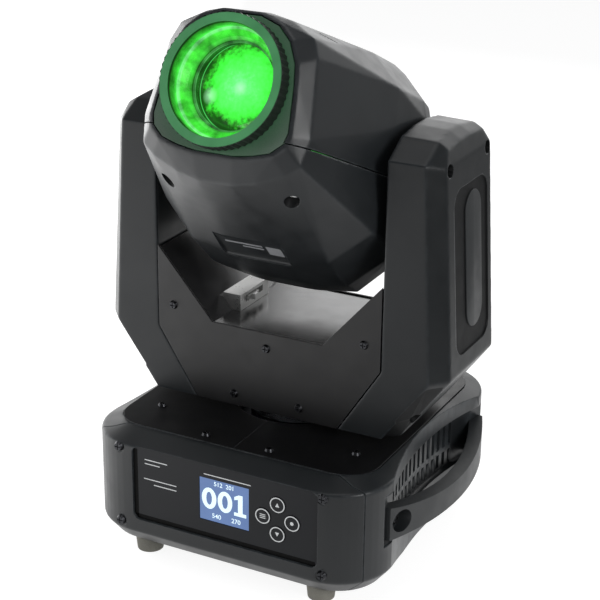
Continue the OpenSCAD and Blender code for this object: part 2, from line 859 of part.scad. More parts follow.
module head_openings() {
  along_y(plate_y - 2, 5.4) lens_plate_plan(0.955);
  x_rod(-100, 200, trunnion_r + 1);
  for (i = [-5:5]) for (sz = [-1, 1])
    box([i * 6 - 1.4, 70, sz * 15 - 10], [i * 6 + 1.4, 100, sz * 15 + 10]);
}

module head_top_cover() {
  color(charcoal) in_head() difference() {
    union() {
      difference() {
        head_block(0);
        head_block(wall);
      }
      intersection() {
        head_block(0);
        head_bosses(0, 5);
      }
    }
    head_openings();
    head_screw_bores();
    box([-100, -200, -200], [100, 200, seam / 2]);
  }
}

module head_bottom_cover() {
  color(charcoal) in_head() difference() {
    union() {
      difference() {
        head_block(0);
        head_block(wall);
      }
      intersection() {
        head_block(0);
        head_bosses(-80, 6.4);
      }
    }
    head_openings();
    head_screw_bores();
    box([-100, -200, -seam / 2], [100, 200, 200]);
  }
}

module head_front_plate() {
  color([0.13, 0.15, 0.14]) in_head() difference() {
    along_y(plate_y + 0.3, 3) lens_plate_plan(0.945);
    translate([0, 0, lens_rise]) y_rod(plate_y - 5, 20, barrel_r + 0.1);
  }
}

// Two side plates and two cross plates, with the post of the wheels and the heat sink's standoffs
module head_chassis() {
  x = chassis_x;
  color(zinc) in_head() {
    difference() {
      union() {
        for (sx = [-1, 1]) box([sx * (x - 1) - 1, -55, -25], [sx * (x - 1) + 1, 36, 42]);
        box([-x + 1, -46, -25], [x - 1, -44, 50]);
        box([-x + 1, 16.5, -25], [x - 1, 18.5, 50]);
        box([-x + 1, -55, 44], [x - 1, -46, 46]);
      }
      translate([0, 0, lens_rise]) y_rod(-60, 90, 14);
      x_rod(-100, 200, 6);
    }
    translate([0, 0, wheel_z]) y_rod(-44.5, 62, wheel_bore_r - 0.05);
    for (sx = [-1, 1]) for (z = [-8, 46]) translate([sx * 27, 0, z]) y_rod(18, 11, 2.6);
  }
}

module tilt_trunnions() {
  color(zinc) in_head() for (sx = [-1, 1]) difference() {
    union() {
      x_rod(sx > 0 ? chassis_x : -chassis_x - 4, 4, 20);
      x_rod(sx > 0 ? chassis_x : -100, sx > 0 ? 112 - chassis_x : 100 - chassis_x, trunnion_r);
    }
    x_rod(-150, 300, 6);
  }
}

module tilt_ring_pulley() {
  color([0.12, 0.12, 0.12]) in_head() translate([tilt_pulley_x, 0, 0]) rotate([0, 90, 0])
    pulley(tilt_pulley_r, trunnion_r + 0.02, pulley_w);
}

module lens_barrel() {
  color([0.1, 0.12, 0.1]) on_lens_axis() difference() {
    union() {
      y_rod(-lens_reach + 3, 61, barrel_r);
      y_rod(-72, 3, barrel_r + 3);
    }
    y_rod(-lens_reach, 80, barrel_in_r);
  }
}

module focus_ring() {
  tip = ring_r;
  root = ring_r - 0.8;
  color([0.12, 0.14, 0.13]) on_lens_axis() difference() {
    along_y(-lens_reach, ring_len)
      polygon([for (i = [0:2 * knurls - 1]) let (r = i % 2 == 0 ? tip : root)
        [r * cos(i * 180 / knurls), r * sin(i * 180 / knurls)]]);
    y_rod(-lens_reach + 2.5, 20, barrel_r + 0.05);
    y_rod(-lens_reach - 1, 10, barrel_in_r + 0.5);
  }
}

module lens_carriage() {
  color([0.1, 0.14, 0.1]) on_lens_axis() rotate([90, 0, 0]) rotate_extrude()
    polygon([[27.6, 106], [barrel_in_r - 0.08, 106], [barrel_in_r - 0.08, 122],
      [34.6, 122], [31, 117], [29, 115.5], [29, 113.6], [27.6, 113.6]]);
}

module front_lens() {
  color([0.4, 0.95, 0.4, 0.5]) on_lens_axis() rotate([90, 0, 0]) rotate_extrude()
    polygon([[0, 107], [27.55, 107], [27.55, 109.5], [24, 110.7], [18, 112], [10, 113.1],
      [0, 113.5]]);
}

module led_module() {
  color([0.9, 0.9, 0.9]) on_lens_axis() {
    box([-23, 26, -23], [23, 29, 23]);
    translate([0, 26, 0]) rotate([90, 0, 0]) cylinder(h = 6, r1 = 9, r2 = 13);
  }
}

module heat_sink() {
  color([0.75, 0.76, 0.78]) in_head() {
    box([-30, 29, -12], [30, 34, 56]);
    for (i = [0:10]) box([-30 + i * 5.85, 34, -12], [-28.5 + i * 5.85, 61, 54]);
  }
}

module head_fan_frame() {
  color(motor_black) in_head() translate([0, 0, fan_z]) difference() {
    box([-fan_half, 63, -fan_half], [fan_half, 78, fan_half]);
    y_rod(62, 12.5, fan_half - 1.4);
    difference() {
      y_rod(73, 8, fan_half - 1.4);
      y_rod(73, 8, 10);
      for (a = [0, 60, 120]) rotate([0, a, 0])
        box([-fan_half, 75, -1.5], [fan_half, 80, 1.5]);
    }
  }
}

module fan_rotor() {
  color([0.15, 0.15, 0.15]) in_head() translate([0, 0, fan_z]) {
    y_rod(64, 9.5, 9.5);
    for (a = [0:51.43:359]) rotate([0, a, 0])
      translate([0, 68.5, 15.5]) rotate([0, 0, 35]) cube([1.4, 8.5, 14], center = true);
  }
}

module filter_wheel(y, hub_y, hub_len) {
  in_head() translate([0, 0, wheel_z]) {
    difference() {
      union() {
        y_rod(y, 1.2, wheel_r);
        y_rod(hub_y, hub_len, 5);
      }
      y_rod(hub_y - 1, hub_len + 2, wheel_bore_r);
      for (i = [0:7]) rotate([0, i * 45, 0]) translate([0, 0, wheel_hole_pitch_r])
        y_rod(y - 1, 4, wheel_hole_r);
    }
  }
}

module colour_wheel() {
  color([0.8, 0.8, 0.82]) filter_wheel(-6, -8, 4);
}

module gobo_wheel() {
  color([0.7, 0.7, 0.72]) filter_wheel(-22, -24, 4);
}

base_housing();
base_front_bezel();
base_top_plate_left();
base_top_plate_right();
base_bottom_plate();
rubber_feet();
side_handle_left();
side_handle_right();
control_panel();
display_screen();
button_up();
button_down();
button_menu();
button_enter();
control_board();
base_chassis();
power_supply();
rear_connector_plate();
power_inlet();
data_in_socket();
data_out_socket();
pan_motor();
pan_drive_pulley();
pan_belt();
pan_bearing();
base_screws();
yoke_frame();
yoke_tray();
yoke_front_plate();
yoke_rear_plate();
arm_cover_left();
arm_cover_right();
arm_inner_cover_left();
arm_inner_cover_right();
pan_shaft();
pan_ring_pulley();
tilt_motor();
tilt_drive_pulley();
tilt_belt();
tilt_bearings();
tilt_lock_block();
tilt_lock_slider();
yoke_screws();
head_top_cover();
head_bottom_cover();
head_front_plate();
head_chassis();
head_screws();
tilt_trunnions();
tilt_ring_pulley();
lens_barrel();
focus_ring();
lens_carriage();
front_lens();
led_module();
heat_sink();
head_fan_frame();
fan_rotor();
colour_wheel();
gobo_wheel();
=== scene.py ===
import json
import math

import bmesh
import bpy
import numpy as np
from mathutils import Matrix, Vector


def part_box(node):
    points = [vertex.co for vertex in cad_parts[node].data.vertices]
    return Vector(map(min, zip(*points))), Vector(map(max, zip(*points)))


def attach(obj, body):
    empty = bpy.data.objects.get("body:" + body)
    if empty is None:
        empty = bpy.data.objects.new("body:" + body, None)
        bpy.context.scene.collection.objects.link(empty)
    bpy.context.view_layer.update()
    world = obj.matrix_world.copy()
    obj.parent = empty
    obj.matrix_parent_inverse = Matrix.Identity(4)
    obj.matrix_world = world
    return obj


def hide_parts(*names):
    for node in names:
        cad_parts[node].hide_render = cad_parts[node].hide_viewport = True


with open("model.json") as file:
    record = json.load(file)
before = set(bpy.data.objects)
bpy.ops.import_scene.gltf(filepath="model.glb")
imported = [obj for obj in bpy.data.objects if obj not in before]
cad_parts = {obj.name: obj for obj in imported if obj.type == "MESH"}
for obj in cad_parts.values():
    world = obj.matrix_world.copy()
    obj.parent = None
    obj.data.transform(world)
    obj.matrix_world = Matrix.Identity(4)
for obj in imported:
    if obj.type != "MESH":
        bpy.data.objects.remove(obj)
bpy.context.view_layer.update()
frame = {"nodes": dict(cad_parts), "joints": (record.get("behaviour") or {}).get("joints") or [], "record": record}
NODES = frame["nodes"]
JOINTS = {j["name"]: j for j in frame["joints"]}
BODY_OF = {n: b for b, ns in frame["record"]["behaviour"]["bodies"].items() for n in ns}
MM = 0.001
COVER_GREY = (0.017, 0.0195, 0.0215)
PRINT_WHITE = (0.80, 0.82, 0.83)
DIM_WHITE = (0.5, 0.51, 0.53)
BLACK = (0.0, 0.0, 0.0)
CAMERA_AZIMUTH = math.radians(27.45)

# The head's directions: x across, y back along the lens axis, z up and square to it
ACROSS = Vector((1, 0, 0))
LENS_BACK = -Vector(JOINTS["focus_turn"]["axis"]).normalized()
HEAD_TURN = Matrix((ACROSS, LENS_BACK, ACROSS.cross(LENS_BACK))).transposed().to_4x4()

# The same directions from the middle of the lens ring, and from the tilt axis
LENS_FRAME = Matrix.Translation(JOINTS["focus_turn"]["pos_m"]) @ HEAD_TURN
HEAD_FRAME = Matrix.Translation(JOINTS["tilt"]["pos_m"]) @ HEAD_TURN


# ---- Camera and lights ----

def make_camera():
    azimuth, elevation, roll = CAMERA_AZIMUTH, math.radians(21.63), math.radians(0.65)
    distance, target = 1.14838, Vector((0.0004, 0.0, 0.16767))
    back = Vector((math.sin(azimuth) * math.cos(elevation),
                   -math.cos(azimuth) * math.cos(elevation), math.sin(elevation)))
    right = Vector((math.cos(azimuth), math.sin(azimuth), 0.0))
    up = back.cross(right)
    rolled_right = right * math.cos(roll) + up * math.sin(roll)
    rolled_up = up * math.cos(roll) - right * math.sin(roll)
    data = bpy.data.cameras.new("camera")
    data.sensor_width = 36.0
    data.lens = 98.47
    data.clip_end = 20.0
    camera = bpy.data.objects.new("camera", data)
    bpy.context.scene.collection.objects.link(camera)
    turn = Matrix((rolled_right, rolled_up, back)).transposed().to_4x4()
    camera.matrix_world = Matrix.Translation(target + back * distance) @ turn
    bpy.context.scene.camera = camera


def softbox(name, place, target, size, power):
    data = bpy.data.lights.new(name, "AREA")
    data.shape = "RECTANGLE"
    data.size, data.size_y = size
    data.energy = power
    light = bpy.data.objects.new(name, data)
    bpy.context.scene.collection.objects.link(light)
    light.location = place
    light.rotation_euler = (Vector(target) - Vector(place)).to_track_quat("-Z", "Y").to_euler()


def make_room():
    """A dim room with a bright horizon that fades above and below."""
    world = bpy.data.worlds.new("studio")
    world.use_nodes = True
    tree = world.node_tree
    coords = tree.nodes.new("ShaderNodeTexCoord")
    split = tree.nodes.new("ShaderNodeSeparateXYZ")
    height = tree.nodes.new("ShaderNodeMath")
    height.operation = "ABSOLUTE"
    ramp = tree.nodes.new("ShaderNodeValToRGB")
    ramp.color_ramp.interpolation = "EASE"
    stops = ((0.03, (1.0, 1.0, 1.0, 1.0)), (0.12, (0.13, 0.132, 0.135, 1.0)))
    for element, (place, color) in zip(ramp.color_ramp.elements, stops):
        element.position = place
        element.color = color
    tree.links.new(coords.outputs["Generated"], split.inputs[0])
    tree.links.new(split.outputs["Z"], height.inputs[0])
    tree.links.new(height.outputs[0], ramp.inputs[0])
    tree.links.new(ramp.outputs[0], tree.nodes["Background"].inputs["Color"])
    bpy.context.scene.world = world


def make_studio():
    """The room, with a large softbox behind and smaller ones around. Sizes in m, power in W."""
    make_room()
    softbox("back_softbox", (0.09, 1.15, 0.8), (0.09, 0, 0.3), (1.5, 1.0), 8)
    softbox("left_back_softbox", (-1.3, 0.4, 0.35), (0, 0, 0.25), (0.9, 1.1), 9)
    softbox("left_softbox", (-1.2, -0.75, 0.45), (0, 0, 0.22), (0.6, 0.7), 4.5)
    softbox("right_softbox", (1.15, -0.5, 0.68), (0.05, -0.1, 0.33), (0.4, 0.6), 6.5)
    softbox("top_softbox", (-0.1, -0.1, 1.7), (0, 0, 0.1), (1.2, 0.9), 5)
    bpy.context.scene.view_settings.view_transform = "Standard"


# ---- Materials ----

class Shader:
    """A Principled material under construction, with short calls for the nodes it needs."""

    def __init__(self, name, **sockets):
        self.material = bpy.data.materials.new(name)
        self.material.use_nodes = True
        self.tree = self.material.node_tree
        self.out = self.tree.nodes["Principled BSDF"]
        self.coords = self.node("ShaderNodeTexCoord").outputs["Object"]
        for key, value in sockets.items():
            self.out.inputs[key.replace("_", " ")].default_value = value

    def node(self, kind, links=(), **values):
        made = self.tree.nodes.new(kind)
        for key, value in values.items():
            setattr(made, key, value)
        for socket, value in dict(links).items():
            if isinstance(value, bpy.types.NodeSocket):
                self.tree.links.new(value, made.inputs[socket])
            else:
                made.inputs[socket].default_value = value
        return made

    def noise(self, scale, detail=2.0, vector=None):
        return self.node("ShaderNodeTexNoise", {"Vector": vector or self.coords, "Scale": scale,
                                                "Detail": detail}).outputs["Fac"]

    def stretched(self, scale):
        return self.node("ShaderNodeMapping", {"Vector": self.coords, "Scale": scale}).outputs[0]

    def remap(self, value, low, high, out_low, out_high):
        return self.node("ShaderNodeMapRange", {0: value, 1: low, 2: high, 3: out_low,
                                                4: out_high}).outputs[0]

    def math(self, operation, a, b=0.0):
        return self.node("ShaderNodeMath", {0: a, 1: b}, operation=operation).outputs[0]

    def length(self, a, b):
        squares = self.math("ADD", self.math("MULTIPLY", a, a), self.math("MULTIPLY", b, b))
        return self.math("SQRT", squares)

    def ramp(self, value, stops):
        made = self.node("ShaderNodeValToRGB", {0: value})
        elements = made.color_ramp.elements
        while len(elements) < len(stops):
            elements.new(1.0)
        for element, (place, color) in zip(elements, stops):
            element.position = place
            element.color = (*color, 1)
        return made.outputs[0]

    def blend(self, factor, a, b):
        made = self.node("ShaderNodeMix", data_type="RGBA")
        for socket, value in ((0, factor), (6, a), (7, b)):
            if isinstance(value, bpy.types.NodeSocket):
                self.tree.links.new(value, made.inputs[socket])
            else:
                made.inputs[socket].default_value = (*value, 1) if socket > 0 else value
        return made.outputs[2]

    def bump(self, height, strength, depth_mm, normal=None):
        links = {"Height": height, "Strength": strength, "Distance": depth_mm * MM}
        if normal is not None:
            links["Normal"] = normal
        return self.node("ShaderNodeBump", links).outputs[0]

    def set(self, socket, value):
        self.tree.links.new(value, self.out.inputs[socket])

    def edges(self, radius_mm):
        """The rounded normal, and a mask that is 1 on the edges."""
        rounded = self.node("ShaderNodeBevel", {"Radius": radius_mm * MM}, samples=4).outputs[0]
        flat = self.node("ShaderNodeNewGeometry").outputs["Normal"]
        dot = self.node("ShaderNodeVectorMath", {0: rounded, 1: flat},
                        operation="DOT_PRODUCT").outputs["Value"]
        return rounded, self.remap(dot, 0.995, 0.86, 0.0, 1.0)


def shade(color, factor):
    return tuple(min(1.0, c * factor) for c in color)


def grained(name, color, roughness, grain_mm=0.45, depth_mm=0.03, edge_mm=0.35, wear=1.7,
            ridge=0.0, **sockets):
    """Moulded plastic, rubber or powder coat: a fine grain, faint blotches, and edges and creases painted lighter,
    partly as wear and partly as a painted highlight.
    """
    s = Shader(name, **sockets)
    blotch = s.noise(22, 4)
    fine = s.noise(1 / (grain_mm * MM), 3)
    base = s.blend(s.remap(blotch, 0.35, 0.65, 0, 1), shade(color, 0.9), shade(color, 1.1))
    base = s.blend(s.remap(fine, 0.35, 0.75, 0, 0.35), base, shade(color, 1.6))
    # The edges are painted lighter, partly as wear and partly as a painted highlight; convex creases are painted
    # lighter as a painted highlight only.
    rounded, lightened_edges = s.edges(edge_mm)
    point = s.node("ShaderNodeNewGeometry").outputs["Pointiness"]
    lightened_edges = s.math("MAXIMUM", lightened_edges, s.remap(point, 0.505, 0.55, 0.0, ridge))
    patchy = s.math("MULTIPLY", lightened_edges, s.remap(s.noise(150, 4), 0.4, 0.65, 0.3, 0.8))
    s.set("Base Color", s.blend(patchy, base, shade(color, wear)))
    rough = s.remap(s.noise(70, 5), 0.3, 0.7, roughness - 0.05, roughness + 0.05)
    s.set("Roughness", rough)
    s.set("Normal", s.bump(fine, 0.35, depth_mm, rounded))
    return s.material


def metal(name, color, roughness, streaks=(1, 1, 1), metallic=1.0, depth_mm=0.01):
    """Plated, turned or extruded metal: fine directional scratches and uneven gloss."""
    s = Shader(name, Metallic=metallic)
    lines = s.noise(900, 3, s.stretched(streaks))
    blotch = s.noise(30, 5)
    base = s.blend(s.remap(blotch, 0.35, 0.7, 0, 1), shade(color, 0.86), shade(color, 1.06))
    rounded, lightened_edges = s.edges(0.25)
    base = s.blend(s.math("MULTIPLY", lightened_edges, 0.5), base, shade(color, 1.35))
    s.set("Base Color", base)
    s.set("Roughness", s.remap(s.math("ADD", lines, blotch), 0.7, 1.3, roughness - 0.07,
                               roughness + 0.1))
    s.set("Normal", s.bump(lines, 0.3, depth_mm, rounded))
    return s.material


def circuit_board(name):
    s = Shader(name, Coat_Weight=0.4)
    tracks = s.node("ShaderNodeTexBrick", {"Vector": s.coords, "Scale": 160.0,
                                           "Mortar Size": 0.09}).outputs["Fac"]
    s.set("Base Color", s.blend(tracks, (0.012, 0.11, 0.045), (0.03, 0.2, 0.09)))
    s.set("Roughness", s.remap(s.noise(300), 0.3, 0.7, 0.25, 0.45))
    s.set("Normal", s.bump(tracks, 0.5, 0.04))
    return s.material


def lens_coords(s):
    """Place across, depth behind the ring's middle and height, in mm, from the lens axis."""
    inverse = LENS_FRAME.inverted()
    mapped = s.node("ShaderNodeMapping", {
        "Vector": s.coords, "Location": inverse.translation,
        "Rotation": inverse.to_euler()}).outputs[0]
    split = s.node("ShaderNodeSeparateXYZ", {0: mapped})
    return [s.math("MULTIPLY", axis, 1 / MM) for axis in split.outputs]


def beam_lit(name, color, tint, glow, reach, front, roughness):
    """A dark coated part near the lens, which picks up the green light of the beam."""
    s = Shader(name, Emission_Strength=glow)
    across, depth, rise = lens_coords(s)
    near = s.math("MULTIPLY", s.remap(s.length(across, rise), *reach, 1.0, 0.0),
                  s.remap(depth, front, front + 0.4, 1.0, 0.0))
    fine = s.noise(1900, 3)
    base = s.blend(s.remap(fine, 0.3, 0.7, 0, 0.5), color, shade(color, 1.7))
    s.set("Base Color", s.blend(s.math("MULTIPLY", near, 0.8), base, tint))
    uneven = s.blend(s.remap(s.noise(45, 4), 0.35, 0.65, 0, 1), shade(tint, 0.85),
                     shade(tint, 1.15))
    s.set("Emission Color", s.blend(near, BLACK, uneven))
    s.set("Roughness", s.remap(s.noise(90, 4), 0.3, 0.7, roughness - 0.06, roughness + 0.06))
    rounded, _ = s.edges(0.25)
    s.set("Normal", s.bump(fine, 0.4, 0.03, rounded))
    return s.material


def barrel_glow(name):
    """The wall of the lens tube, lit green by the beam, with bands and streaks along it."""
    s = Shader(name, Emission_Strength=1.0, Metallic=0.3)
    across, depth, rise = lens_coords(s)
    band = s.ramp(s.remap(depth, -7.0, 24.0, 0.0, 1.0), [
        (0.0, (0.004, 0.05, 0.008)), (0.1, (0.02, 0.2, 0.015)), (0.24, (0.03, 0.42, 0.025)),
        (0.36, (0.06, 0.8, 0.06)), (0.41, (0.26, 0.95, 0.32)), (0.45, (0.07, 0.9, 0.05)),
        (0.6, (0.055, 0.8, 0.045)), (0.66, (0.012, 0.1, 0.008)), (0.685, (0.012, 0.1, 0.008)),
        (0.7, (0.15, 0.62, 0.18)), (0.72, (0.01, 0.08, 0.01)), (1.0, (0.012, 0.11, 0.01))])
    around = s.math("ARCTAN2", across, rise)
    unrolled = s.node("ShaderNodeCombineXYZ", {0: around, 1: s.math("MULTIPLY", depth, 0.03)})
    shadow = s.remap(s.noise(3.2, 4, unrolled.outputs[0]), 0.35, 0.62, 0.0, 1.0)
    lit = s.blend(shadow, s.blend(0.65, band, BLACK), band)
    inside = s.remap(s.length(across, rise), 36.0, 36.6, 1.0, 0.0)
    s.set("Emission Color", s.blend(inside, BLACK, lit))
    s.set("Base Color", s.blend(shadow, (0.005, 0.03, 0.005), (0.02, 0.2, 0.02)))
    s.set("Roughness", s.remap(s.noise(400), 0.3, 0.7, 0.2, 0.4))
    s.set("Normal", s.bump(s.noise(1500), 0.2, 0.02))
    return s.material


def lens_glow(name):
    """The lens with the beam behind it: a bright, speckled disc with a dark crescent beside."""
    s = Shader(name, Emission_Strength=1.0, Coat_Weight=1.0, Coat_Roughness=0.03,
               Roughness=0.12)
    across, _, rise = lens_coords(s)

    def distance(px, pz):
        return s.length(s.math("SUBTRACT", across, px), s.math("SUBTRACT", rise, pz))

    def line(value, place, half_width, soft_width, strength):
        away = s.math("ABSOLUTE", s.math("SUBTRACT", value, place))
        return s.remap(away, half_width, soft_width, strength, 0.0)

    beam = distance(2.8, 0.0)
    level = s.math("SUBTRACT", 28.0, beam)
    for part, middle, weight in ((across, 0.0, 0.07), (rise, 0.0, 0.126),
                                 (s.noise(420, 5), 0.5, 14.0), (s.noise(75, 3), 0.5, 14.0)):
        part = s.math("SUBTRACT", part, middle)
        level = s.math("ADD", level, s.math("MULTIPLY", part, weight))
    level = s.math("MINIMUM", level, s.math("MULTIPLY", s.math("SUBTRACT", 28.2, beam), 9.0))
    color = s.ramp(s.remap(level, 0.0, 34.0, 0.0, 1.0), [
        (0.0, (0.008, 0.06, 0.006)), (0.06, (0.02, 0.2, 0.012)), (0.22, (0.05, 0.85, 0.045)),
        (0.5, (0.1, 1.0, 0.13)), (0.75, (0.2, 1.0, 0.3)), (1.0, (0.45, 1.0, 0.55))])
    rim = line(distance(0.0, 0.0), 31.2, 0.15, 0.7, 0.6)
    edge = s.math("MULTIPLY", line(beam, 28.6, 0.1, 0.5, 0.7),
                  s.remap(across, -14.0, 4.0, 1.0, 0.0))
    color = s.blend(s.math("MAXIMUM", rim, edge), color, (0.1, 0.85, 0.16))
    # Two pale spots on the lens: painted highlights.
    for px, pz, size in ((-16.5, -7.5, 6.0), (4.0, -0.5, 5.0)):
        painted_glint = s.remap(distance(px, pz), 0.5, size, 0.6, 0.0)
        color = s.blend(painted_glint, color, (0.5, 1.0, 0.6))
    s.set("Emission Color", color)
    s.set("Base Color", s.blend(0.5, color, (0.0, 0.1, 0.0)))
    s.set("Normal", s.bump(s.noise(60, 1), 0.05, 0.1))
    return s.material


def display_glow(name):
    """A blue dot-matrix display behind its window, with a faint grid of cells."""
    s = Shader(name, Emission_Strength=0.62, Coat_Weight=0.6, Coat_Roughness=0.1, Roughness=0.3)
    grid = s.node("ShaderNodeTexBrick", {"Vector": s.coords, "Scale": 900.0,
                                         "Mortar Size": 0.03}).outputs["Fac"]
    cloud = s.remap(s.noise(40, 2), 0.3, 0.7, 0.0, 1.0)
    blue = s.blend(cloud, (0.11, 0.22, 0.50), (0.14, 0.27, 0.58))
    s.set("Emission Color", s.blend(grid, blue, (0.05, 0.13, 0.42)))
    s.set("Base Color", s.blend(cloud, (0.02, 0.05, 0.14), (0.03, 0.06, 0.17)))
    s.set("Normal", s.bump(s.noise(200), 0.05, 0.02))
    return s.material


def printed(name, color, glow):
    """White ink, slightly broken up at the scale of the film's grain."""
    s = Shader(name, Emission_Strength=glow)
    ink = s.blend(s.remap(s.noise(2500, 3), 0.3, 0.7, 0.0, 1.0), shade(color, 0.86), color)
    s.set("Base Color", ink)
    s.set("Emission Color", ink)
    s.set("Roughness", s.remap(s.noise(300), 0.3, 0.7, 0.4, 0.55))
    s.set("Normal", s.bump(s.noise(1500), 0.2, 0.01))
    return s.material


# Shells: their creases are painted lighter, as a painted highlight.
SHELL = {"roughness": 0.37, "edge_mm": 0.5, "ridge": 1.0}
FILM = {"color": (0.01, 0.011, 0.0135), "roughness": 0.36, "grain_mm": 0.2, "depth_mm": 0.008,
        "Specular_IOR_Level": 0.23}

PLASTICS = {
    "cover_plastic": {"color": COVER_GREY, "roughness": 0.37, "edge_mm": 0.5, "wear": 3.6},
    "cover_plastic_shell": {"color": COVER_GREY, "wear": 3.6, "Specular_IOR_Level": 0.46,
                            **SHELL},
    # The arms' shells: the cover grey painted darker, as painted shade, with less shine.
    "arm_plastic_painted_shade": {"color": shade(COVER_GREY, 0.8), "wear": 3.6,
                          "Specular_IOR_Level": 0.3, **SHELL},
    "bezel_plastic": {"color": COVER_GREY, "roughness": 0.37},
    "bezel_plastic_shell": {"color": shade(COVER_GREY, 0.85), "wear": 4.0,
                            "Specular_IOR_Level": 0.4, **SHELL},
    # Near black for the faces inside bores, slots and the shells: painted shade in the recesses.
    "inner_painted_shade": {"color": (0.005, 0.0055, 0.006), "roughness": 0.55, "wear": 1.2,
                      "Specular_IOR_Level": 0.2},
    "handle_plastic": {"color": COVER_GREY, "roughness": 0.45},
    "pulley_plastic": {"color": (0.018, 0.018, 0.02), "roughness": 0.5},
    "fan_plastic": {"color": (0.012, 0.012, 0.013), "roughness": 0.45},
    "inlet_plastic": {"color": (0.012, 0.012, 0.013), "roughness": 0.38, "grain_mm": 0.3,
                      "depth_mm": 0.02},
    "panel_film": {"edge_mm": 0.3, "wear": 1.3, **FILM},
    "button": {"edge_mm": 0.4, "wear": 1.4, **FILM},
    # Near black, for the painted shadow along the panel's recess.
    "panel_recess_shadow": {"color": (0.003, 0.003, 0.003), "roughness": 0.6, "Specular_IOR_Level": 0.1},
    "led_white": {"color": (0.75, 0.77, 0.72), "roughness": 0.5, "grain_mm": 0.3,
                  "depth_mm": 0.02, "edge_mm": 0.3, "wear": 1.1},
    "rubber": {"color": (0.3, 0.29, 0.25), "roughness": 0.8, "grain_mm": 0.6, "depth_mm": 0.08,
               "edge_mm": 0.6, "wear": 1.2},
    "belt_rubber": {"color": (0.012, 0.012, 0.012), "roughness": 0.75, "grain_mm": 0.5,
                    "depth_mm": 0.05},
    "motor_black": {"color": (0.014, 0.014, 0.015), "roughness": 0.4, "grain_mm": 0.5,
                    "depth_mm": 0.02, "edge_mm": 0.4, "wear": 3.0},
    # The sheets' edges are painted much lighter, as a painted highlight line.
    "black_sheet": {"color": (0.004, 0.004, 0.0045), "roughness": 0.4, "grain_mm": 0.7,
                    "edge_mm": 0.7, "wear": 16.0, "Specular_IOR_Level": 0.4},
    "glossy_sheet": {"color": (0.02, 0.02, 0.021), "roughness": 0.22, "grain_mm": 0.7,
                     "depth_mm": 0.01, "edge_mm": 0.3, "wear": 3.0, "Coat_Weight": 0.6,
                     "Coat_Roughness": 0.2},
}

# Colour, roughness and how much the scratches run along each direction
METALS = {
    "zinc_steel": ((0.55, 0.56, 0.58), 0.34, (1, 1, 0.15)),
    "screw_steel": ((0.36, 0.37, 0.38), 0.3),
    "black_screw": ((0.045, 0.046, 0.05), 0.32),
    "bright_screw": ((0.75, 0.75, 0.75), 0.35),
    "shaft_steel": ((0.62, 0.62, 0.64), 0.22, (0.1, 1, 1)),
    "bearing_steel": ((0.7, 0.71, 0.73), 0.16, (1, 1, 0.2)),
    "pulley_metal": ((0.62, 0.63, 0.65), 0.3, (1, 1, 0.2)),
    "socket_metal": ((0.4, 0.41, 0.43), 0.36, (1, 0.2, 1)),
    "lock_metal": ((0.66, 0.66, 0.65), 0.33, (1, 0.2, 1), 0.9, 0.03),
    "heat_sink": ((0.6, 0.61, 0.63), 0.38, (1, 0.1, 1)),
    "wheel_metal": ((0.66, 0.67, 0.69), 0.28),
}


def make_materials():
    """A material for each of the record's slots, and for the shells and the special finishes."""
    made = {name: grained(name, **values) for name, values in PLASTICS.items()}
    made.update({name: metal(name, *values) for name, values in METALS.items()})
    made.update({name: maker(name) for name, maker in (
        ("circuit_board", circuit_board), ("barrel_black", barrel_glow),
        ("lens_glass", lens_glow), ("display", display_glow))})
    made["front_plate"] = beam_lit("front_plate", (0.125, 0.155, 0.134), (0.02, 0.085, 0.034),
                                   glow=0.42, reach=(38.0, 62.0), front=20.0, roughness=0.5)
    made["ring_plastic"] = beam_lit("ring_plastic", (0.008, 0.012, 0.009), (0.04, 0.17, 0.065),
                                    glow=0.8, reach=(41.2, 41.8), front=-5.7, roughness=0.4)
    made["panel_ink"] = printed("panel_ink", PRINT_WHITE, 0.25)
    made["hood_ink"] = printed("hood_ink", DIM_WHITE, 0.06)
    made["display_ink"] = printed("display_ink", (0.75, 0.93, 1.0), 0.85)
    return made


def paint(obj, material):
    obj.data.materials.clear()
    obj.data.materials.append(material)
    return obj


# ---- Mesh helpers ----

def link(name, mesh):
    obj = bpy.data.objects.new(name, mesh)
    bpy.context.scene.collection.objects.link(obj)
    return obj


def to_object(name, bm):
    mesh = bpy.data.meshes.new(name)
    bm.to_mesh(mesh)
    bm.free()
    return link(name, mesh)


def node_points(*nodes):
    return [v.co.copy() for n in nodes for v in NODES[n].data.vertices]


def welded(node):
    """A copy of a CAD node's mesh with its split corners joined, as a closed solid."""
    bm = bmesh.new()
    bm.from_mesh(NODES[node].data)
    bmesh.ops.remove_doubles(bm, verts=bm.verts, dist=1e-6)
    return to_object(node + "_solid", bm)


def hull(name, points):
    bm = bmesh.new()
    for p in points:
        bm.verts.new(p)
    result = bmesh.ops.convex_hull(bm, input=bm.verts)
    spare = {g for g in result["geom_interior"] + result["geom_unused"]
             if isinstance(g, bmesh.types.BMVert)}
    bmesh.ops.delete(bm, geom=list(spare), context="VERTS")
    return to_object(name, bm)


def bake(obj):
    """Applies the modifiers of obj."""
    depsgraph = bpy.context.evaluated_depsgraph_get()
    mesh = bpy.data.meshes.new_from_object(obj.evaluated_get(depsgraph))
    obj.modifiers.clear()
    obj.data = mesh
    return obj


def combine(target, tool, operation):
    """Adds, cuts or intersects a closed solid, which is used up."""
    modifier = target.modifiers.new("combine", "BOOLEAN")
    modifier.operation = operation
    modifier.object = tool
    modifier.solver = "MANIFOLD"
    modifier.material_mode = "TRANSFER"
    bake(target)
    bpy.data.objects.remove(tool)
    return target


